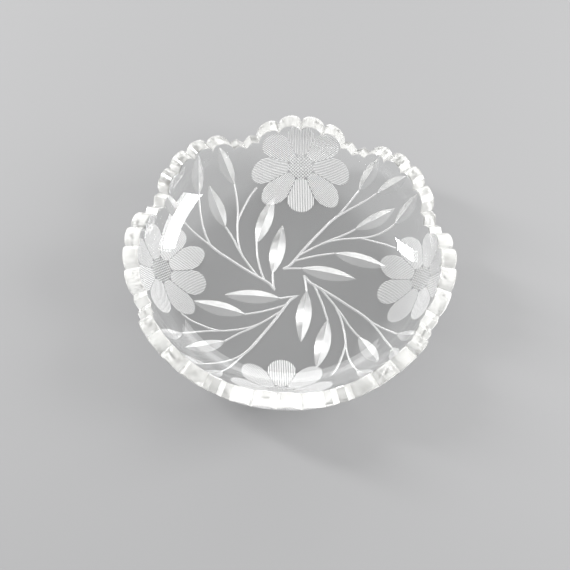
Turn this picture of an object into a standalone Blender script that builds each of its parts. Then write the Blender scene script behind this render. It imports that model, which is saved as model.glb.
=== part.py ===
"""Cut-crystal dish: a low, thick-walled glass bowl with a flat base and a scalloped sawtooth rim.

The blank is turned from one profile. Its wall is a single arc that leaves the flat base level and
ends almost upright. The rim is then ground: eight lobes, each of four rounded scallops, with two
small pointed teeth in the dip between one lobe and the next. Every rim facet runs straight through
the wall, square to it. Twenty-four leaves are ground into the underside with a mitre wheel.

Units are metres, +Z is up, and the origin is the centre of the base on the surface it stands on.
"""

import math

import bmesh
import bpy
from mathutils import Vector

# Driving dimensions
RIM_RADIUS = 0.075
RIM_HEIGHT = 0.030
BASE_RADIUS = 0.040
GLASS_THICKNESS = 0.007
GRINDING_ALLOWANCE = 0.0015
TURNING_STEPS = 96
WALL_STEPS = 9

# The rim, in degrees round the dish and metres below the highest scallop, along the wall
LOBES = 8
SCALLOP_PITCH = 8.6
SCALLOPS_PER_LOBE = 4
MIDDLE_SCALLOP_DROP = 0.0
OUTER_SCALLOP_DROP = 0.0034
SMALL_TOOTH_DROP = 0.0094
LOBE_CENTRE_NOTCH = 0.0038
LOBE_INNER_NOTCH = 0.0056
LOBE_END_NOTCH = 0.0105
DIP_NOTCH = 0.0124
SCALLOP_FACETS = 4
CUTTER_INNER_REACH = 0.003
CUTTER_OUTER_REACH = 0.008
CUTTER_TOP = 0.036

# The leaves, in one quarter of the dish: where each starts and where its tip is, as the distance
# along the underside from the middle of the base and the angle round the dish in degrees
SPRAYS = 4
LEAVES = {
    "tall": ((0.0600, 62.0), (0.0815, 60.5)),
    "upper": ((0.0638, 54.0), (0.0845, 46.5)),
    "middle": ((0.0425, 50.0), (0.0650, 43.0)),
    "lower": ((0.0595, 35.0), (0.0820, 36.0)),
    "inner": ((0.0262, 42.0), (0.0465, 15.5)),
    "first": ((0.0092, 62.0), (0.0310, 11.0)),
}
LEAF_WIDTH = 0.0070
LEAF_DEPTH = 0.0021
LEAF_STATIONS = 8
LEAF_OVERCUT = 0.35

# Worked out from the driving dimensions
WALL_TURN = 2 * math.atan2(RIM_HEIGHT, RIM_RADIUS - BASE_RADIUS)
WALL_ARC_RADIUS = (RIM_RADIUS - BASE_RADIUS) / math.sin(WALL_TURN)
INNER_ARC_RADIUS = WALL_ARC_RADIUS - GLASS_THICKNESS


def new_collection(name):
    collection = bpy.data.collections.new(name)
    bpy.context.scene.collection.children.link(collection)
    return collection


def add_object(name, mesh, collection):
    obj = bpy.data.objects.new(name, mesh)
    collection.objects.link(obj)
    return obj


def crystal_material():
    """Clear lead crystal with polished faces."""
    material = bpy.data.materials.new("crystal")
    material.use_nodes = True
    shader = material.node_tree.nodes["Principled BSDF"]
    shader.inputs["Base Color"].default_value = (0.97, 0.98, 0.97, 1.0)
    shader.inputs["Roughness"].default_value = 0.02
    shader.inputs["Metallic"].default_value = 0.0
    shader.inputs["IOR"].default_value = 1.54
    shader.inputs["Transmission Weight"].default_value = 1.0
    material.diffuse_color = (0.80, 0.88, 0.90, 1.0)
    return material


def wall_point(turn, arc_radius):
    """(radius, height) on the wall where it has turned by this angle from level."""
    radius = BASE_RADIUS + arc_radius * math.sin(turn)
    height = WALL_ARC_RADIUS - arc_radius * math.cos(turn)
    return radius, height


def blank_profile():
    """Half of the blank's section: along the inside to the rim, then down the outer side.

    The blank's rim stands proud by an allowance that the grinding takes off.
    """
    blank_turn = WALL_TURN + GRINDING_ALLOWANCE / WALL_ARC_RADIUS
    turns = [blank_turn * step / WALL_STEPS for step in range(WALL_STEPS + 1)]
    inside = [wall_point(turn, INNER_ARC_RADIUS) for turn in turns]
    outside = [wall_point(turn, WALL_ARC_RADIUS) for turn in reversed(turns)]
    return [(0.0, GLASS_THICKNESS)] + inside + outside + [(0.0, 0.0)]


def turned_mesh(name, profile):
    """An open line in the XZ plane that the Screw modifier turns about Z."""
    mesh = bpy.data.meshes.new(name)
    points = [(radius, 0.0, height) for radius, height in profile]
    edges = [(index, index + 1) for index in range(len(points) - 1)]
    mesh.from_pydata(points, edges, [])
    return mesh


def add_blank(collection):
    dish = add_object("crystal_dish", turned_mesh("crystal_dish", blank_profile()), collection)
    dish.data.materials.append(crystal_material())
    turning = dish.modifiers.new("turn the blank", "SCREW")
    turning.axis = "Z"
    turning.angle = 2 * math.pi
    turning.steps = TURNING_STEPS
    turning.render_steps = TURNING_STEPS
    turning.use_merge_vertices = True
    turning.merge_threshold = 0.0001
    turning.use_smooth_shade = True
    return dish


def add_cutter(name, outline, collection):
    mesh = bpy.data.meshes.new(name)
    outline.to_mesh(mesh)
    outline.free()
    cutter = add_object(name, mesh, collection)
    cutter.hide_render = True
    cutter.display_type = "WIRE"
    return cutter


def rim_line():
    """[(angle, drop)] once round the ground rim, starting in the dip before the lobe at angle 0."""
    lobe_pitch = 360 / LOBES
    inner_end = SCALLOPS_PER_LOBE / 2 * SCALLOP_PITCH
    notches = [
        (-lobe_pitch / 2, DIP_NOTCH),
        (-inner_end, LOBE_END_NOTCH),
        (-SCALLOP_PITCH, LOBE_INNER_NOTCH),
        (0.0, LOBE_CENTRE_NOTCH),
        (SCALLOP_PITCH, LOBE_INNER_NOTCH),
        (inner_end, LOBE_END_NOTCH),
        (lobe_pitch / 2, DIP_NOTCH),
    ]
    tops = [
        SMALL_TOOTH_DROP,
        OUTER_SCALLOP_DROP,
        MIDDLE_SCALLOP_DROP,
        MIDDLE_SCALLOP_DROP,
        OUTER_SCALLOP_DROP,
        SMALL_TOOTH_DROP,
    ]
    line = []
    for lobe in range(LOBES):
        for top, start, end in zip(tops, notches, notches[1:]):
            pointed = top == SMALL_TOOTH_DROP
            facets = 2 if pointed else SCALLOP_FACETS
            for step in range(facets):
                along = step / facets
                off_middle = abs(2 * along - 1)
                rise = 1 - off_middle if pointed else math.sqrt(1 - off_middle**2)
                notch = start[1] + (end[1] - start[1]) * along
                angle = lobe * lobe_pitch + start[0] + (end[0] - start[0]) * along
                line.append((math.radians(angle), notch + (top - (start[1] + end[1]) / 2) * rise))
    return line


def add_rim_cutter(collection):
    """A ring whose underside is the rim: each of its lines runs through the wall, square to it."""
    outline = bmesh.new()
    rings = []
    for angle, drop in rim_line():
        turn = WALL_TURN - drop / WALL_ARC_RADIUS
        inner = wall_point(turn, INNER_ARC_RADIUS - CUTTER_INNER_REACH)
        outer = wall_point(turn, WALL_ARC_RADIUS + CUTTER_OUTER_REACH)
        section = [inner, outer, (outer[0], CUTTER_TOP), (inner[0], CUTTER_TOP)]
        rings.append(
            [
                outline.verts.new((radius * math.cos(angle), radius * math.sin(angle), height))
                for radius, height in section
            ]
        )
    for ring, following in zip(rings, rings[1:] + rings[:1]):
        for corner in range(4):
            beyond = (corner + 1) % 4
            outline.faces.new([ring[corner], ring[beyond], following[beyond], following[corner]])
    bmesh.ops.recalc_face_normals(outline, faces=outline.faces)
    return add_cutter("rim_cutter", outline, collection)


def underside_point(along, angle, depth):
    """Where a cut reaches: distance from the middle, angle round the dish, depth into the glass."""
    if along <= BASE_RADIUS:
        radius, height = along, depth
    else:
        turn = (along - BASE_RADIUS) / WALL_ARC_RADIUS
        radius, height = wall_point(turn, WALL_ARC_RADIUS - depth)
    return Vector((radius * math.cos(angle), radius * math.sin(angle), height))


def flattened(along, degrees):
    """The same place on the underside rolled out flat."""
    angle = math.radians(degrees)
    return Vector((along * math.cos(angle), along * math.sin(angle)))


def add_leaf(cutter, start, tip, spray_turn):
    """One mitre cut: a V that widens and deepens from its start to the middle and closes again."""
    first, last = flattened(*start), flattened(*tip)
    across = (last - first).orthogonal().normalized()
    sections = []
    for station in range(1, LEAF_STATIONS):
        share = station / LEAF_STATIONS
        swell = math.sin(math.pi * share)
        corners = [
            (LEAF_WIDTH / 2 * (1 + LEAF_OVERCUT), -LEAF_OVERCUT),
            (0.0, 1.0),
            (-LEAF_WIDTH / 2 * (1 + LEAF_OVERCUT), -LEAF_OVERCUT),
        ]
        section = []
        for aside, depth in corners:
            flat = first.lerp(last, share) + across * aside * swell
            place = underside_point(
                flat.length, math.atan2(flat.y, flat.x) + spray_turn, depth * LEAF_DEPTH * swell
            )
            section.append(cutter.verts.new(place))
        sections.append(section)
    ends = [
        cutter.verts.new(
            underside_point(end.length, math.atan2(end.y, end.x) + spray_turn, 0.0)
        )
        for end in (first, last)
    ]
    for section, following in zip(sections, sections[1:]):
        for corner in range(3):
            beyond = (corner + 1) % 3
            cutter.faces.new(
                [section[corner], section[beyond], following[beyond], following[corner]]
            )
    for end, section in zip(ends, (sections[0], sections[-1])):
        for corner in range(3):
            cutter.faces.new([end, section[corner], section[(corner + 1) % 3]])


def add_leaf_cutter(collection):
    """All the leaves' cutting volumes in one object: they don't touch one another."""
    outline = bmesh.new()
    for spray in range(SPRAYS):
        for start, tip in LEAVES.values():
            add_leaf(outline, start, tip, 2 * math.pi * spray / SPRAYS)
    bmesh.ops.recalc_face_normals(outline, faces=outline.faces)
    return add_cutter("leaf_cutter", outline, collection)


def cut(target, cutter, label):
    modifier = target.modifiers.new(label, "BOOLEAN")
    modifier.operation = "DIFFERENCE"
    modifier.solver = "EXACT"
    modifier.object = cutter


def main():
    for obj in list(bpy.data.objects):
        bpy.data.objects.remove(obj, do_unlink=True)
    parts = new_collection("cut_crystal_dish")
    cutters = new_collection("cutters")
    dish = add_blank(parts)
    cut(dish, add_rim_cutter(cutters), "grind the rim")
    cut(dish, add_leaf_cutter(cutters), "cut the leaves")


main()
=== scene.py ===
import math

import bpy
import numpy as np
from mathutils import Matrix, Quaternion, Vector, geometry, kdtree


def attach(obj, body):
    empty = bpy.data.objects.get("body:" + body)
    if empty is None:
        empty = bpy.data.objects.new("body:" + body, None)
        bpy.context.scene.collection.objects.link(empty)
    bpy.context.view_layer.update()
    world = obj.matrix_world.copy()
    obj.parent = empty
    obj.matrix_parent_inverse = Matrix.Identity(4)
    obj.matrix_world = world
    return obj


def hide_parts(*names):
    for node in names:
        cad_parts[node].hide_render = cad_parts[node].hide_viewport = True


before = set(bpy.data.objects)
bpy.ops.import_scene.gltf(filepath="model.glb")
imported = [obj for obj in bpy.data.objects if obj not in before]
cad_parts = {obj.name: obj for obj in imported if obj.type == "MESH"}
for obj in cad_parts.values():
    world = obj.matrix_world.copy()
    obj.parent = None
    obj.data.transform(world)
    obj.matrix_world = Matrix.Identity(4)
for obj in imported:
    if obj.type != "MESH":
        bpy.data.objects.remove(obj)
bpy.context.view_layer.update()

# A cut-crystal dish. Its glass is one closed mesh: the cut underside, the smooth inside and the
# ground rim that joins them. The cuts are drawn on the underside rolled out flat, where a point's
# distance from the middle is its true distance along the glass. The drawing is triangulated, and
# then wrapped back onto the dish with each point pushed into the glass by the depth of its cut.
#
# Lengths are millimetres until a mesh is written, in metres, and the floor, the lamps and the
# camera are in metres. Angles are degrees where a name or a comment says so, or else radians.
MM = 0.001

# The dish, as in the CAD model. Its wall is one arc, level at the base and almost upright above.
RIM_RADIUS = 75.0
RIM_HEIGHT = 30.0
BASE_RADIUS = 40.0
GLASS_THICKNESS = 7.0
WALL_TURN = 2 * math.atan2(RIM_HEIGHT, RIM_RADIUS - BASE_RADIUS)
WALL_ARC_RADIUS = (RIM_RADIUS - BASE_RADIUS) / math.sin(WALL_TURN)
RIM_ALONG = BASE_RADIUS + WALL_ARC_RADIUS * WALL_TURN

# The rim, as in the CAD model: pitch in degrees, drops along the wall below the highest scallop
LOBES = 8
SCALLOP_PITCH = 8.6
OUTER_SCALLOP_DROP = 3.4
SMALL_TOOTH_DROP = 9.4
LOBE_CENTRE_NOTCH = 3.8
LOBE_INNER_NOTCH = 5.6
LOBE_END_NOTCH = 10.5
DIP_NOTCH = 12.4

# Finer than the CAD model: a scallop's outline, and the polished edges either side of the rim
SCALLOP_STEPS = 14
SCALLOP_SHOULDER = 2.3
SCALLOP_ROUNDNESS = 0.62
TOOTH_STEPS = 6
EDGE_POLISH = 0.35
RIM_RINGS = 7

# Stems: rounded grooves, as deep as a share of their width, that keep most of that depth as far
# out as the shoulder
MAIN_STEM_WIDTH = 1.3
BRANCH_WIDTH = 1.0
STEM_DEPTH_SHARE = 0.35
STEM_SHOULDER = 0.45
STEM_SHOULDER_DEPTH = 0.72

# Leaves: mitre cuts, fullest a little nearer to the stem than to the tip
LEAF_HALF_WIDTH = 3.5
LEAF_DEPTH = 2.1
LEAF_LEAN = 0.92
LEAF_FULLNESS = 0.85

# Petals: frosted grooves with clear ridges between them, along the petal. At the round end the
# grooves overrun the outline and the ridges stop short of it, and each groove runs out gently.
HATCH_PITCH = 0.80
HATCH_DEPTH = 0.22
HATCH_RIDGE = 0.30
HATCH_OVERRUN = 0.5
HATCH_RUN_OUT = 0.7
SHORTEST_GROOVE = 1.0
PETALS = 8
PETAL_START = 6.6
PETAL_WIDEST = 16.8
PETAL_TIP = 24.3
PETAL_HALF_WIDTH = 6.6
PETAL_NARROWING = 0.62
PETAL_TAPER = 1.7
PETAL_SECTOR_SHARE = 0.965

# How much nearer to the flower's middle than its start a petal still counts: along it, by radius
PETAL_MARGIN_ALONG = 0.5
PETAL_MARGIN_ROUND = 0.3

# The middle of a flower: crossed grooves round square islands of clear glass
CENTRE_RADIUS = 6.7
CENTRE_MARGIN = 0.1
CROSS_PITCH = 1.15
CROSS_DEPTH = 0.35
CROSS_ISLAND = 0.68
CROSS_EDGE = 0.55

# How fine the lines of the drawing are
CURVE_STEPS = 24
STEM_STEP = 1.3
LEAF_STATIONS = 15
OUTLINE_SAMPLES = 200
GROOVE_STEP = 1.5

# The points between the lines: their spacing, and how clear they keep of the lines' own points
OUTER_SPACING = 1.8
OUTER_CLEARANCE = 0.8
INNER_SPACING = 2.4
INNER_CLEARANCE = 1.2

# How clear of the rim's polished edge the cuts keep, and the points between them
CUT_TO_RIM = 0.45
GRID_TO_RIM = 0.6

# A face whose middle is no deeper than this is uncut
NO_DEPTH = 1e-4

# Edges bent by more degrees than this are sharp: in general, beside a leaf, and within the rim
SHARP_EDGE = 8
SHARP_LEAF = 18
SHARP_RIM = 26

# One spray: (distance from the middle along the underside, angle in degrees) of points on its
# main stem, and for each branch its stems and where its leaf starts and ends
MAIN_STEM = [(7.8, 119), (9.4, 95), (15, 81), (19.5, 76), (25, 72), (31, 69), (37, 67), (42, 65)]
BRANCHES = {
    "tall": (
        [[(42, 65), (49, 63.8), (55.5, 63), (60, 62.3)]],
        ((60.0, 62.3), (81.5, 60.5)),
    ),
    "upper": (
        [[(42, 65), (48.8, 61.3), (56.3, 57.3), (63.8, 54.3)]],
        ((63.8, 54.3), (84.5, 46.5)),
    ),
    "middle": (
        [[(15, 81), (18, 72.5), (23.3, 64), (30, 57), (34.5, 53.2), (39.5, 50.8), (42.5, 50)]],
        ((42.5, 50.0), (65.0, 43.0)),
    ),
    "lower": (
        [
            [(25.5, 61.3), (29.2, 56.2), (33.8, 50), (38.2, 44.7), (42, 41), (45, 38.8),
             (50.3, 36.5), (55.5, 35.4), (59.6, 35)],
            [(41, 41.8), (44.2, 36.8), (47.3, 32.5), (50.6, 28.5), (54, 24)],
        ],
        ((59.5, 35.0), (82.0, 36.0)),
    ),
    "inner": (
        [[(11.2, 90), (13.1, 76), (16.1, 63), (19.5, 54), (22.9, 47), (26.2, 42)]],
        ((26.2, 42.0), (46.5, 15.5)),
    ),
    "first": (
        [[(7.8, 119), (7.6, 90), (9.2, 62)]],
        ((9.2, 62.0), (31.0, 11.0)),
    ),
}

# The four sprays are cut by hand: each one's angle, and how far its leaves swing from the pattern
SPRAYS = [
    (-3.0, {"lower": 2.5, "inner": 2.0}),
    (91.3, {"upper": -6.0, "middle": -1.5, "lower": -4.5, "inner": -3.0, "first": -2.0}),
    (180.3, {"inner": 1.0, "first": 5.0}),
    (271.0, {"middle": 2.0, "lower": 1.0, "inner": 3.5, "first": 2.0}),
]

# The daisies: distance of the middle from the dish's, angle round it, and twist, in degrees
DAISIES = [(65.2, 2.4, 12), (62.9, 89.0, 4), (62.9, 181.6, -8), (64.4, 270.8, 2)]

# What made a face, which is also the number of its material on the mesh
CRYSTAL, FROSTED, LEAF_CUT, STEM_CUT, RIM_CUT = range(5)

# All five materials are the same glass
LEAD_CRYSTAL_IOR = 1.545

# The studio
FLOOR_SIZE = 10
FLOOR_GAP = 0.0003
CAMERA_ELEVATION = 61.9
CAMERA_SWING = 4.5
CAMERA_DISTANCE = 0.7208
CAMERA_LENS = 97.85
CAMERA_SENSOR = 36
CAMERA_AIM = (-0.0020, 0.0003, 0)
LAMP_AIM = (0, 0, 0)


def section(along, depth):
    """(radius, height) of a place given along the underside, this deep in the glass."""
    turn = np.maximum(along - BASE_RADIUS, 0) / WALL_ARC_RADIUS
    arc = WALL_ARC_RADIUS - depth
    radius = np.minimum(along, BASE_RADIUS) + arc * np.sin(turn)
    height = WALL_ARC_RADIUS - arc * np.cos(turn)
    return radius, height


def outward(flat):
    """(distance from the middle, unit vector away from it) for points of the rolled-out surface."""
    along = np.hypot(flat[:, 0], flat[:, 1])
    return along, flat / np.maximum(along, 1e-9)[:, None]


def in_space(flat, depth):
    """Points of the rolled-out underside, wrapped back onto the dish at a depth in the glass."""
    along, away = outward(flat)
    radius, height = section(along, depth)
    return np.column_stack([away * radius[:, None], height])


def wall_normal(flat):
    """Unit normals out of the underside at points of the rolled-out surface."""
    along, away = outward(flat)
    turn = np.maximum(along - BASE_RADIUS, 0) / WALL_ARC_RADIUS
    return np.column_stack([away * np.sin(turn)[:, None], -np.cos(turn)])


def polar(along, degrees):
    angle = np.radians(degrees)
    return np.stack([along * np.cos(angle), along * np.sin(angle)], -1)


def rotated(points, angle):
    c, s = math.cos(angle), math.sin(angle)
    x, y = points[:, 0], points[:, 1]
    return np.stack([x * c - y * s, x * s + y * c], 1)


def rim_stations():
    """[(degrees, drop)] once round the rim: rounded scallops, and pointed teeth in the dips."""
    lobe_pitch = 360 / LOBES
    notches = [
        (-lobe_pitch / 2, DIP_NOTCH),
        (-2 * SCALLOP_PITCH, LOBE_END_NOTCH),
        (-SCALLOP_PITCH, LOBE_INNER_NOTCH),
        (0.0, LOBE_CENTRE_NOTCH),
        (SCALLOP_PITCH, LOBE_INNER_NOTCH),
        (2 * SCALLOP_PITCH, LOBE_END_NOTCH),
        (lobe_pitch / 2, DIP_NOTCH),
    ]
    tops = [SMALL_TOOTH_DROP, OUTER_SCALLOP_DROP, 0.0, 0.0, OUTER_SCALLOP_DROP, SMALL_TOOTH_DROP]
    stations = []
    for lobe in range(LOBES):
        for top, start, end in zip(tops, notches, notches[1:]):
            pointed = top == SMALL_TOOTH_DROP
            steps = TOOTH_STEPS if pointed else SCALLOP_STEPS
            for step in range(steps):
                share = step / steps
                off_middle = abs(2 * share - 1)
                rise = 1 - off_middle
                if not pointed:
                    rise = (1 - off_middle**SCALLOP_SHOULDER) ** SCALLOP_ROUNDNESS
                notch = start[1] + (end[1] - start[1]) * share
                drop = notch + (top - (start[1] + end[1]) / 2) * rise
                degrees = lobe * lobe_pitch + start[0] + (end[0] - start[0]) * share
                stations.append((degrees, drop))
    return stations


RIM_DEGREES, RIM_DROPS = np.array(rim_stations()).T


def rim_along(degrees):
    """How far along the underside the ground rim is, at these angles."""
    start = RIM_DEGREES[0]
    return RIM_ALONG - np.interp(
        (np.asarray(degrees) - start) % 360,
        np.append(RIM_DEGREES - start, 360),
        np.append(RIM_DROPS, RIM_DROPS[0]),
    )


def rim_outline():
    """The edge of both surfaces, where the rim's polished edge begins."""
    return polar(rim_along(RIM_DEGREES) - EDGE_POLISH, RIM_DEGREES)


def inside_rim(flat, clearance=CUT_TO_RIM):
    degrees = np.degrees(np.arctan2(flat[:, 1], flat[:, 0]))
    return np.hypot(flat[:, 0], flat[:, 1]) < rim_along(degrees) - EDGE_POLISH - clearance


def smooth_line(points, spacing):
    """A Catmull-Rom curve through the points, sampled evenly."""
    ends = [2 * points[0] - points[1]] + list(points) + [2 * points[-1] - points[-2]]
    fine = []
    for before, start, end, after in zip(ends, ends[1:], ends[2:], ends[3:]):
        for share in np.linspace(0, 1, CURVE_STEPS, endpoint=False):
            linear = (end - before) * share
            square = (2 * before - 5 * start + 4 * end - after) * share**2
            cube = (3 * start - before - 3 * end + after) * share**3
            fine.append(0.5 * (2 * start + linear + square + cube))
    fine = np.array(fine + [points[-1]])
    length = np.append(0, np.cumsum(np.hypot(*np.diff(fine, axis=0).T)))
    at = np.linspace(0, length[-1], max(4, round(length[-1] / spacing) + 1))
    return np.stack([np.interp(at, length, fine[:, axis]) for axis in (0, 1)], 1)


def to_the_left(line):
    """Unit vectors to the left of a line, one for each of its points."""
    ahead = np.gradient(line, axis=0)
    ahead /= np.hypot(*ahead.T)[:, None]
    return np.stack([-ahead[:, 1], ahead[:, 0]], 1)


def petal_half_width(out):
    """Half the width of a petal at a distance from the flower's middle: wedge, then round end."""
    beyond = (out - PETAL_WIDEST) / (PETAL_TIP - PETAL_WIDEST)
    round_end = np.sqrt(np.clip(1 - np.maximum(beyond, 0) ** 2, 0, None))
    before = np.clip((PETAL_WIDEST - out) / (PETAL_WIDEST - PETAL_START), 0, 1)
    narrowed = PETAL_HALF_WIDTH * (1 - PETAL_NARROWING * before**PETAL_TAPER) * round_end
    sector = out * math.tan(math.pi / PETALS) * PETAL_SECTOR_SHARE
    outside = (out < PETAL_START - PETAL_MARGIN_ALONG) | (out > PETAL_TIP)
    return np.where(outside, -1.0, np.minimum(narrowed, sector))


def petal_end(aside):
    """How far out a petal reaches at a distance from its own middle line."""
    share = np.clip(aside / PETAL_HALF_WIDTH, 0, 1)
    return PETAL_WIDEST + (PETAL_TIP - PETAL_WIDEST) * np.sqrt(1 - share**2)


def petal_start(aside):
    """Where a hatching line starts in a petal, found on the petal's outline."""
    out = np.linspace(PETAL_START, PETAL_WIDEST, OUTLINE_SAMPLES)
    wide = petal_half_width(out) >= aside
    return out[np.argmax(wide)] if wide.any() else None


def from_ridge(aside):
    """How far across a petal the nearest ridge is, in pitches: 0 on a ridge, 0.5 in a valley."""
    return np.abs((aside / HATCH_PITCH + 0.5) % 1 - 0.5)


def groove_overrun(aside):
    """How far past a petal's round end its grooves run; at a ridge they stop short of it."""
    return HATCH_OVERRUN * (4 * from_ridge(aside) - 1)


def hatch_rows():
    """Where the lines of a petal run: both edges of each ridge, and the valleys between."""
    ridges = int(PETAL_HALF_WIDTH / HATCH_PITCH)
    rows = []
    for ridge in range(-ridges, ridges + 1):
        middle = ridge * HATCH_PITCH
        rows += [middle - HATCH_RIDGE / 2, middle + HATCH_RIDGE / 2, middle + HATCH_PITCH / 2]
    return rows[:-1]


class Daisy:
    """Eight hatched petals round a cross-hatched middle, in true lengths on the wall."""

    def __init__(self, along, degrees, twist):
        self.along = along
        self.angle = math.radians(degrees)
        self.twist = math.radians(twist)

    def flat(self, local):
        """From the flower's own plane to the rolled-out underside."""
        turned = rotated(local, self.twist)
        along = self.along - turned[:, 0]
        angle = self.angle - turned[:, 1] / section(along, 0)[0]
        return np.stack([along * np.cos(angle), along * np.sin(angle)], 1)

    def local(self, flat):
        """From the rolled-out underside to the flower's own plane."""
        along = np.hypot(flat[:, 0], flat[:, 1])
        angle = np.arctan2(flat[:, 1], flat[:, 0]) - self.angle
        angle = (angle + math.pi) % (2 * math.pi) - math.pi
        across = -angle * section(along, 0)[0]
        return rotated(np.stack([self.along - along, across], 1), -self.twist)

    def depth(self, flat):
        """Depth of the flower's cuts at points of the rolled-out underside."""
        local = self.local(flat)
        reach = np.hypot(local[:, 0], local[:, 1])
        hatching, in_petal = hatch_depth(local)
        in_petal &= reach > PETAL_START - PETAL_MARGIN_ROUND
        in_centre = (reach < CENTRE_RADIUS - CENTRE_MARGIN) & ~(in_petal & (reach > PETAL_START))
        return np.where(in_centre, cross_depth(local), np.where(in_petal, hatching, 0))


def hatch_depth(local):
    """(depth of the hatching, True where there is a petal) at points of a flower's own plane."""
    petal = np.round(np.arctan2(local[:, 1], local[:, 0]) / (2 * math.pi / PETALS))
    turn = petal * 2 * math.pi / PETALS
    out = local[:, 0] * np.cos(turn) + local[:, 1] * np.sin(turn)
    aside = -local[:, 0] * np.sin(turn) + local[:, 1] * np.cos(turn)
    overrun = groove_overrun(aside)
    room = petal_half_width(out - overrun * (out > PETAL_WIDEST)) - np.abs(aside)
    half_ridge, half_pitch = HATCH_RIDGE / 2, HATCH_PITCH / 2
    valley = (from_ridge(aside) * HATCH_PITCH - half_ridge) / (half_pitch - half_ridge)
    run_out = np.clip((petal_end(np.abs(aside)) + overrun - out) / HATCH_RUN_OUT, 0, 1)
    return HATCH_DEPTH * np.clip(valley, 0, 1) * run_out, room > -1e-6


def cross_depth(local):
    """Depth of the crossed grooves at points of a flower's own plane."""
    slanted = rotated(local, math.pi / 4) / CROSS_PITCH
    from_middle = np.abs((slanted + 0.5) % 1 - 0.5).max(1)
    slope = (from_middle - CROSS_ISLAND / 2) / (0.5 - CROSS_ISLAND / 2)
    return CROSS_DEPTH * np.clip(slope, 0, 1)


def flower_depth(flat, daisies):
    return np.max([daisy.depth(flat) for daisy in daisies], 0)


def branch_point(branch, place, turn, swing):
    """A point of a branch in one spray: the swing grows from the branch's start to its leaf."""
    along, degrees = place
    stems, (leaf_start, _) = BRANCHES[branch]
    grown = (along - stems[0][0][0]) / (leaf_start[0] - stems[0][0][0])
    return polar(along, degrees + turn + swing * min(max(grown, 0), 1))


def stem_lines():
    """[(line, width)] for every stem on the dish."""
    lines = []
    for turn, swings in SPRAYS:
        points = [polar(along, degrees + turn) for along, degrees in MAIN_STEM]
        lines.append((smooth_line(points, STEM_STEP), MAIN_STEM_WIDTH))
        for branch, (stems, _) in BRANCHES.items():
            swing = swings.get(branch, 0)
            for stem in stems:
                points = [branch_point(branch, place, turn, swing) for place in stem]
                lines.append((smooth_line(points, STEM_STEP), BRANCH_WIDTH))
    return lines


def stem_depth(flat, stems):
    """Depth of the stems' rounded grooves at points of the rolled-out underside."""
    depth = np.zeros(len(flat))
    for line, width in stems:
        low, high = line.min(0) - width, line.max(0) + width
        near = np.nonzero(((flat > low) & (flat < high)).all(1))[0]
        if not len(near):
            continue
        starts, steps = line[:-1], np.diff(line, axis=0)
        apart = flat[near, None, :] - starts[None]
        share = np.clip((apart * steps).sum(2) / (steps**2).sum(1), 0, 1)
        gap = np.hypot(*np.moveaxis(apart - share[..., None] * steps, 2, 0)).min(1)
        profile = np.interp(gap / (width / 2), [0, STEM_SHOULDER, 1], [1, STEM_SHOULDER_DEPTH, 0])
        depth[near] = np.maximum(depth[near], STEM_DEPTH_SHARE * width * profile)
    return depth


def leaf_frames():
    """[(start, along the leaf, to its left, length)] for every leaf on the dish."""
    leaves = []
    for turn, swings in SPRAYS:
        for branch, (_, ends) in BRANCHES.items():
            swing = swings.get(branch, 0)
            first, last = [branch_point(branch, end, turn, swing) for end in ends]
            length = math.hypot(*(last - first))
            ahead = (last - first) / length
            leaves.append((first, ahead, np.array([-ahead[1], ahead[0]]), length))
    return leaves


def leaf_swell(share):
    """Width and depth of a leaf along its length, from 0 at the ends to 1."""
    return np.sin(math.pi * np.clip(share, 0, 1) ** LEAF_LEAN) ** LEAF_FULLNESS


def leaf_depth(flat, leaves):
    """Depth of the leaves' mitre cuts at points of the rolled-out underside."""
    depth = np.zeros(len(flat))
    for start, ahead, left, length in leaves:
        offset = flat - start
        share = offset @ ahead / length
        aside = np.abs(offset @ left)
        swell = np.where((share > 0) & (share < 1), leaf_swell(share), 0)
        room = 1 - aside / np.maximum(swell * LEAF_HALF_WIDTH, 1e-9)
        depth = np.maximum(depth, LEAF_DEPTH * swell * np.clip(room, 0, 1))
    return depth


class Sketch:
    """Points and lines on the rolled-out underside, which the triangulation keeps as edges."""

    def __init__(self):
        self.points = []
        self.lines = []

    def add(self, line, closed=False):
        first = len(self.points)
        self.points.extend(map(tuple, line))
        indices = range(first, len(self.points))
        self.lines.extend(zip(indices, indices[1:]))
        if closed:
            self.lines.append((len(self.points) - 1, first))

    def add_inside(self, line):
        """Adds the stretches of a line that are clear of the rim."""
        run = []
        for point, clear in zip(line, inside_rim(line)):
            if clear:
                run.append(point)
                continue
            if len(run) > 1:
                self.add(run)
            run = []
        if len(run) > 1:
            self.add(run)


def sketch_stem(sketch, line, width):
    left = to_the_left(line) * width / 2
    for offset in (-1.0, -STEM_SHOULDER, 0.0, STEM_SHOULDER, 1.0):
        sketch.add_inside(line + left * offset)


def sketch_leaf(sketch, start, ahead, left, length):
    """A leaf's keel and its two edges."""
    share = np.linspace(0, 1, LEAF_STATIONS)
    swell = leaf_swell(share) * LEAF_HALF_WIDTH
    keel = start + np.outer(share * length, ahead)
    for side in (-1, 0, 1):
        sketch.add_inside(keel + np.outer(swell * side, left))


def sketch_petal(sketch, daisy, turn):
    """The hatching lines of one petal, and the outline through their ends."""
    starts, ends = [], []
    for aside in hatch_rows():
        start = petal_start(abs(aside))
        if start is None:
            continue
        end = float(petal_end(abs(aside)) + groove_overrun(aside))
        if end - start < SHORTEST_GROOVE:
            continue
        steps = max(3, round((end - start) / GROOVE_STEP))
        out = np.concatenate([np.linspace(start, end - HATCH_RUN_OUT, steps), [end]])
        line = daisy.flat(rotated(np.stack([out, np.full(len(out), aside)], 1), turn))
        line = line[inside_rim(line)]
        if len(line) < 2:
            continue
        sketch.add(line)
        starts.append(line[0])
        ends.append(line[-1])
    sketch.add(starts)
    sketch.add(ends)


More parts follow.
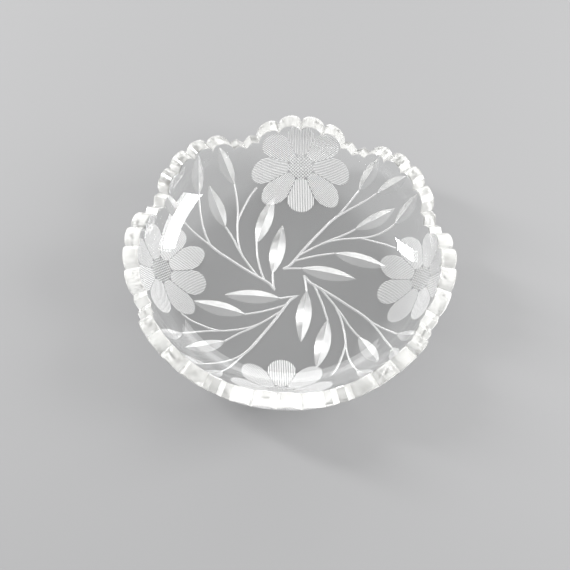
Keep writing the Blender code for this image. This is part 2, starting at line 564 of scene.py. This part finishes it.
def sketch_centre(sketch, daisy):
    """The crossed grooves of a flower's middle: a square round each island, and its corners."""
    cells = int(CENTRE_RADIUS / CROSS_PITCH) + 1
    square = np.array([(-1, -1), (1, -1), (1, 1), (-1, 1)]) * CROSS_PITCH / 2
    for i in range(-cells, cells + 1):
        for j in range(-cells, cells + 1):
            middle = np.array([[i, j]]) * CROSS_PITCH
            if math.hypot(*middle[0]) > CENTRE_RADIUS - CROSS_PITCH * CROSS_EDGE:
                continue
            corners = daisy.flat(rotated(middle + square, -math.pi / 4))
            island = daisy.flat(rotated(middle + square * CROSS_ISLAND, -math.pi / 4))
            sketch.add(corners, closed=True)
            sketch.add(island, closed=True)
            for corner, top in zip(corners, island):
                sketch.add([corner, top])


def underside_sketch(daisies, stems, leaves):
    sketch = Sketch()
    sketch.add(rim_outline(), closed=True)
    for line, width in stems:
        sketch_stem(sketch, line, width)
    for leaf in leaves:
        sketch_leaf(sketch, *leaf)
    for daisy in daisies:
        for petal in range(PETALS):
            sketch_petal(sketch, daisy, 2 * math.pi * petal / PETALS)
        sketch_centre(sketch, daisy)
    return sketch


def honeycomb(sketch, spacing, clearance):
    """Points in staggered rows that keep clear of the sketch's own points and of the rim."""
    tree = kdtree.KDTree(len(sketch.points))
    for index, point in enumerate(sketch.points):
        tree.insert((*point, 0), index)
    tree.balance()
    row_height = spacing * math.sqrt(3) / 2
    rows = int(RIM_ALONG / row_height) + 1
    columns = int(RIM_ALONG / spacing) + 1
    found = []
    for row in range(-rows, rows + 1):
        shift = spacing / 2 * (row % 2)
        for column in range(-columns, columns + 1):
            found.append((column * spacing + shift, row * row_height))
    found = np.array(found)
    found = found[inside_rim(found, GRID_TO_RIM)]
    return np.array([point for point in found if tree.find((*point, 0))[2] > clearance])


def triangulated(sketch):
    """Triangles between all the sketch's points, without those that bridge the rim's notches."""
    verts, _, faces, _, _, _ = geometry.delaunay_2d_cdt(
        [Vector(point) for point in sketch.points], sketch.lines, [], 0, 1e-5, False
    )
    flat = np.array([tuple(vert) for vert in verts])
    faces = np.array([tuple(face) for face in faces])
    rim = rim_outline()
    middles = flat[faces].mean(1)
    degrees = np.degrees(np.arctan2(middles[:, 1], middles[:, 0]))
    turned = (degrees - RIM_DEGREES[0]) % 360
    station = np.searchsorted(RIM_DEGREES - RIM_DEGREES[0], turned, side="right") - 1
    start = rim[station]
    side = rim[(station + 1) % len(rim)] - start
    apart = middles - start
    return flat, faces[side[:, 0] * apart[:, 1] - side[:, 1] * apart[:, 0] > 0]


class Surface:
    """Triangles on the rolled-out underside, how deep each point is, and what made each face."""

    def __init__(self, flat, faces, depth, kinds):
        self.flat = flat
        self.faces = faces
        self.depth = depth
        self.kinds = kinds

    def in_space(self):
        return in_space(self.flat, self.depth)

    def edge_loop(self):
        """The points on its outer edge, in order of angle."""
        corners = self.faces[:, [0, 1, 1, 2, 2, 0]].reshape(-1, 2)
        edges, counts = np.unique(np.sort(corners, 1), axis=0, return_counts=True)
        on_edge = np.unique(edges[counts == 1])
        degrees = np.degrees(np.arctan2(self.flat[on_edge, 1], self.flat[on_edge, 0]))
        return on_edge[np.argsort((degrees - RIM_DEGREES[0] + 1e-6) % 360)]


def make_underside():
    """The cut outer side: each point as deep as its cut, and each face marked by what cut it."""
    daisies = [Daisy(*daisy) for daisy in DAISIES]
    stems = stem_lines()
    leaves = leaf_frames()
    sketch = underside_sketch(daisies, stems, leaves)
    grid = honeycomb(sketch, OUTER_SPACING, OUTER_CLEARANCE)
    sketch.points.extend(map(tuple, grid[flower_depth(grid, daisies) <= 0]))
    flat, faces = triangulated(sketch)
    cuts = [flower_depth(flat, daisies), stem_depth(flat, stems), leaf_depth(flat, leaves)]
    middles = flat[faces].mean(1)
    flower = flower_depth(middles, daisies)
    groove = stem_depth(middles, stems)
    mitre = leaf_depth(middles, leaves)
    kinds = np.full(len(faces), CRYSTAL)
    kinds[mitre > NO_DEPTH] = LEAF_CUT
    kinds[(groove > NO_DEPTH) & (groove >= mitre)] = STEM_CUT
    kinds[flower > NO_DEPTH] = FROSTED
    return Surface(flat, faces, np.max(cuts, 0), kinds)


def make_inside():
    """The smooth inner side, drawn on the same rolled-out underside, one thickness deeper."""
    sketch = Sketch()
    sketch.add(rim_outline(), closed=True)
    sketch.points.extend(map(tuple, honeycomb(sketch, INNER_SPACING, INNER_CLEARANCE)))
    flat, faces = triangulated(sketch)
    depth = np.full(len(flat), GLASS_THICKNESS)
    return Surface(flat, faces, depth, np.full(len(faces), CRYSTAL))


def make_rim(outer, inner):
    """New points and faces that join the two surfaces: a polished edge, the cut, a polished edge."""
    outer_loop = outer.edge_loop()
    count = len(outer_loop)
    along, away = outward(outer.flat[outer_loop])
    ground = away * (along + EDGE_POLISH)[:, None]
    depths = np.linspace(EDGE_POLISH, GLASS_THICKNESS - EDGE_POLISH, RIM_RINGS)
    points = np.concatenate([in_space(ground, depth) for depth in depths])
    first_new = len(outer.flat) + len(inner.flat)
    rings = [outer_loop]
    rings += list((first_new + np.arange(RIM_RINGS * count)).reshape(RIM_RINGS, count))
    rings.append(inner.edge_loop() + len(outer.flat))
    faces = []
    for ring, deeper in zip(rings, rings[1:]):
        sides = [ring, np.roll(ring, -1), np.roll(deeper, -1), deeper]
        faces += np.stack(sides, 1).tolist()
    return points, faces


def glass_mesh():
    """All the glass of the dish, as one closed mesh."""
    outer = make_underside()
    inner = make_inside()
    rim_points, rim_faces = make_rim(outer, inner)
    points = np.concatenate([outer.in_space(), inner.in_space(), rim_points]) * MM
    faces = outer.faces[:, ::-1].tolist()
    faces += (inner.faces + len(outer.flat)).tolist()
    faces += rim_faces
    kinds = np.concatenate([outer.kinds, inner.kinds, np.full(len(rim_faces), RIM_CUT)])
    mesh = bpy.data.meshes.new("crystal_dish_glass")
    mesh.from_pydata(points.tolist(), [], faces)
    mesh.polygons.foreach_set("material_index", kinds.astype(np.int32))
    mesh.polygons.foreach_set("use_smooth", np.ones(len(faces), bool))
    mesh.update()
    sizes = np.empty(len(faces), np.int32)
    mesh.polygons.foreach_get("loop_total", sizes)
    corner_face = np.repeat(np.arange(len(faces)), sizes)
    mark_sharp_edges(mesh, kinds, corner_face)
    set_normals(mesh, kinds, corner_face, outer, inner)
    return mesh


def mark_sharp_edges(mesh, kinds, corner_face):
    """Sharp edges round the cuts and notches, by how far the two faces at an edge turn."""
    normals = np.empty(len(mesh.polygons) * 3)
    mesh.polygons.foreach_get("normal", normals)
    normals = normals.reshape(-1, 3)
    corner_edge = np.empty(len(mesh.loops), np.int32)
    mesh.loops.foreach_get("edge_index", corner_edge)
    order = np.argsort(corner_edge, kind="stable")
    edge, face = corner_edge[order], corner_face[order]
    same = edge[:-1] == edge[1:]
    one, two = face[:-1][same], face[1:][same]
    limit = np.full(len(one), math.cos(math.radians(SHARP_EDGE)))
    limit[(kinds[one] == LEAF_CUT) | (kinds[two] == LEAF_CUT)] = math.cos(math.radians(SHARP_LEAF))
    limit[(kinds[one] == RIM_CUT) & (kinds[two] == RIM_CUT)] = math.cos(math.radians(SHARP_RIM))
    sharp = np.zeros(len(mesh.edges), bool)
    sharp[edge[:-1][same]] = (normals[one] * normals[two]).sum(1) < limit
    attribute = mesh.attributes.new("sharp_edge", "BOOLEAN", "EDGE")
    attribute.data.foreach_set("value", sharp)
    mesh.update()


def set_normals(mesh, kinds, corner_face, outer, inner):
    """The true surface's normals on the uncut glass, and the mesh's own on the cuts."""
    normals = np.empty(len(mesh.loops) * 3, np.float32)
    mesh.corner_normals.foreach_get("vector", normals)
    normals = normals.reshape(-1, 3)
    corner_point = np.empty(len(mesh.loops), np.int32)
    mesh.loops.foreach_get("vertex_index", corner_point)
    clear = kinds[corner_face] == CRYSTAL
    outside = clear & (corner_face < len(outer.faces))
    inside = clear & (corner_face >= len(outer.faces))
    normals[outside] = wall_normal(outer.flat[corner_point[outside]])
    normals[inside] = -wall_normal(inner.flat[corner_point[inside] - len(outer.flat)])
    mesh.normals_split_custom_set(normals.tolist())


def new_material(name, colour, transmission):
    """Lead crystal: (material, its nodes, its links, its shader, its Object coordinates)."""
    material = bpy.data.materials.new(name)
    material.use_nodes = True
    nodes, links = material.node_tree.nodes, material.node_tree.links
    shader = nodes["Principled BSDF"]
    shader.inputs["Base Color"].default_value = (*colour, 1)
    shader.inputs["IOR"].default_value = LEAD_CRYSTAL_IOR
    shader.inputs["Transmission Weight"].default_value = transmission
    where = nodes.new("ShaderNodeTexCoord").outputs["Object"]
    return material, nodes, links, shader, where


def let_lamps_through(material, tint):
    """Rays from lamps go straight through this glass, dimmed a little, and light what is behind."""
    nodes, links = material.node_tree.nodes, material.node_tree.links
    path = nodes.new("ShaderNodeLightPath")
    either = nodes.new("ShaderNodeMath")
    either.operation = "MAXIMUM"
    clear = nodes.new("ShaderNodeBsdfTransparent")
    clear.inputs["Color"].default_value = (tint, tint, tint, 1)
    mixed = nodes.new("ShaderNodeMixShader")
    links.new(path.outputs["Is Shadow Ray"], either.inputs[0])
    links.new(path.outputs["Is Diffuse Ray"], either.inputs[1])
    links.new(either.outputs["Value"], mixed.inputs["Fac"])
    links.new(nodes["Principled BSDF"].outputs["BSDF"], mixed.inputs[1])
    links.new(clear.outputs["BSDF"], mixed.inputs[2])
    links.new(mixed.outputs["Shader"], nodes["Material Output"].inputs["Surface"])


def ground_material(name, colour, transmission, grain, smoothest, roughest, tint):
    """Glass that a wheel has cut: its roughness varies with the grain of the wheel."""
    material, nodes, links, shader, where = new_material(name, colour, transmission)
    noise = nodes.new("ShaderNodeTexNoise")
    noise.inputs["Scale"].default_value = grain
    ramp = nodes.new("ShaderNodeMapRange")
    ramp.inputs["To Min"].default_value = smoothest
    ramp.inputs["To Max"].default_value = roughest
    links.new(where, noise.inputs["Vector"])
    links.new(noise.outputs["Fac"], ramp.inputs["Value"])
    links.new(ramp.outputs["Result"], shader.inputs["Roughness"])
    let_lamps_through(material, tint)
    return material


def crystal_material():
    """Polished lead crystal, with the faint waviness of fire and felt polishing."""
    material, nodes, links, shader, where = new_material(
        "crystal", colour=(0.985, 0.99, 0.985), transmission=1.0
    )
    shader.inputs["Roughness"].default_value = 0.0
    noise = nodes.new("ShaderNodeTexNoise")
    noise.inputs["Scale"].default_value = 60
    noise.inputs["Detail"].default_value = 2
    bump = nodes.new("ShaderNodeBump")
    bump.inputs["Strength"].default_value = 0.06
    bump.inputs["Distance"].default_value = 0.001
    links.new(where, noise.inputs["Vector"])
    links.new(noise.outputs["Fac"], bump.inputs["Height"])
    links.new(bump.outputs["Normal"], shader.inputs["Normal"])
    let_lamps_through(material, tint=0.8)
    return material


def frosted_material():
    """The unpolished hatching of the petals."""
    return ground_material(
        "frosted_cut", colour=(0.99, 0.99, 0.99), transmission=0.04,
        grain=900, smoothest=0.42, roughest=0.6, tint=0.6,
    )


def leaf_material():
    """The wide mitre cuts, almost polished."""
    return ground_material(
        "polished_cut", colour=(0.985, 0.99, 0.985), transmission=0.72,
        grain=500, smoothest=0.1, roughest=0.26, tint=0.8,
    )


def stem_material():
    """The narrow grooves of the stems, half polished."""
    return ground_material(
        "stem_cut", colour=(0.98, 0.98, 0.98), transmission=0.45,
        grain=700, smoothest=0.12, roughest=0.3, tint=0.7,
    )


def rim_material():
    """The ground rim, a touch ivory where the light runs through the most glass."""
    return ground_material(
        "rim_cut", colour=(0.99, 0.99, 0.955), transmission=0.7,
        grain=300, smoothest=0.08, roughest=0.2, tint=0.8,
    )


def make_dish():
    dish = bpy.data.objects.new("crystal_dish_glass", glass_mesh())
    bpy.context.scene.collection.objects.link(dish)
    dish.data.materials.append(crystal_material())
    dish.data.materials.append(frosted_material())
    dish.data.materials.append(leaf_material())
    dish.data.materials.append(stem_material())
    dish.data.materials.append(rim_material())
    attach(dish, "root")
    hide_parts("crystal_dish")


def make_floor():
    """Plain matt paper, just under the base so that the two don't touch."""
    bpy.ops.mesh.primitive_plane_add(size=FLOOR_SIZE, location=(0, 0, -FLOOR_GAP))
    floor = bpy.context.object
    floor.name = "floor"
    material = bpy.data.materials.new("floor")
    material.use_nodes = True
    shader = material.node_tree.nodes["Principled BSDF"]
    shader.inputs["Base Color"].default_value = (0.35, 0.35, 0.354, 1)
    shader.inputs["Roughness"].default_value = 0.9
    shader.inputs["Specular IOR Level"].default_value = 0.1
    floor.data.materials.append(material)


def add_softbox(name, place, size, watts):
    light = bpy.data.lights.new(name, "AREA")
    light.shape = "RECTANGLE"
    light.size, light.size_y = size
    light.energy = watts
    lamp = bpy.data.objects.new(name, light)
    lamp.location = place
    ahead = Vector(LAMP_AIM) - Vector(place)
    lamp.rotation_euler = ahead.to_track_quat("-Z", "Y").to_euler()
    bpy.context.scene.collection.objects.link(lamp)


def make_lights():
    add_softbox("right_softbox", place=(0.888, 0.078, 0.454), size=(0.62, 0.42), watts=12.5)
    add_softbox("left_softbox", place=(-0.789, 0.256, 0.559), size=(0.12, 0.45), watts=9)
    add_softbox("back_softbox", place=(0.0, 2.3, 0.68), size=(2.5, 1.25), watts=27)
    world = bpy.data.worlds.new("studio")
    world.use_nodes = True
    background = world.node_tree.nodes["Background"]
    background.inputs["Color"].default_value = (1, 1, 1, 1)
    background.inputs["Strength"].default_value = 0.45
    bpy.context.scene.world = world
    bpy.context.scene.view_settings.view_transform = "Standard"


def make_camera():
    """Looks down at the dish, a little from the +X side of straight ahead."""
    elevation = math.radians(CAMERA_ELEVATION)
    back = Vector((0, -math.cos(elevation), math.sin(elevation))) * CAMERA_DISTANCE
    swing = Quaternion((0, 0, 1), math.radians(CAMERA_SWING))
    camera = bpy.data.cameras.new("camera")
    camera.sensor_width = CAMERA_SENSOR
    camera.lens = CAMERA_LENS
    camera.clip_start = 0.05
    holder = bpy.data.objects.new("camera", camera)
    holder.location = swing @ (Vector(CAMERA_AIM) + back)
    holder.rotation_mode = "QUATERNION"
    holder.rotation_quaternion = swing @ (-back).to_track_quat("-Z", "Y")
    bpy.context.scene.collection.objects.link(holder)
    bpy.context.scene.camera = holder


make_camera()
make_dish()
make_floor()
make_lights()
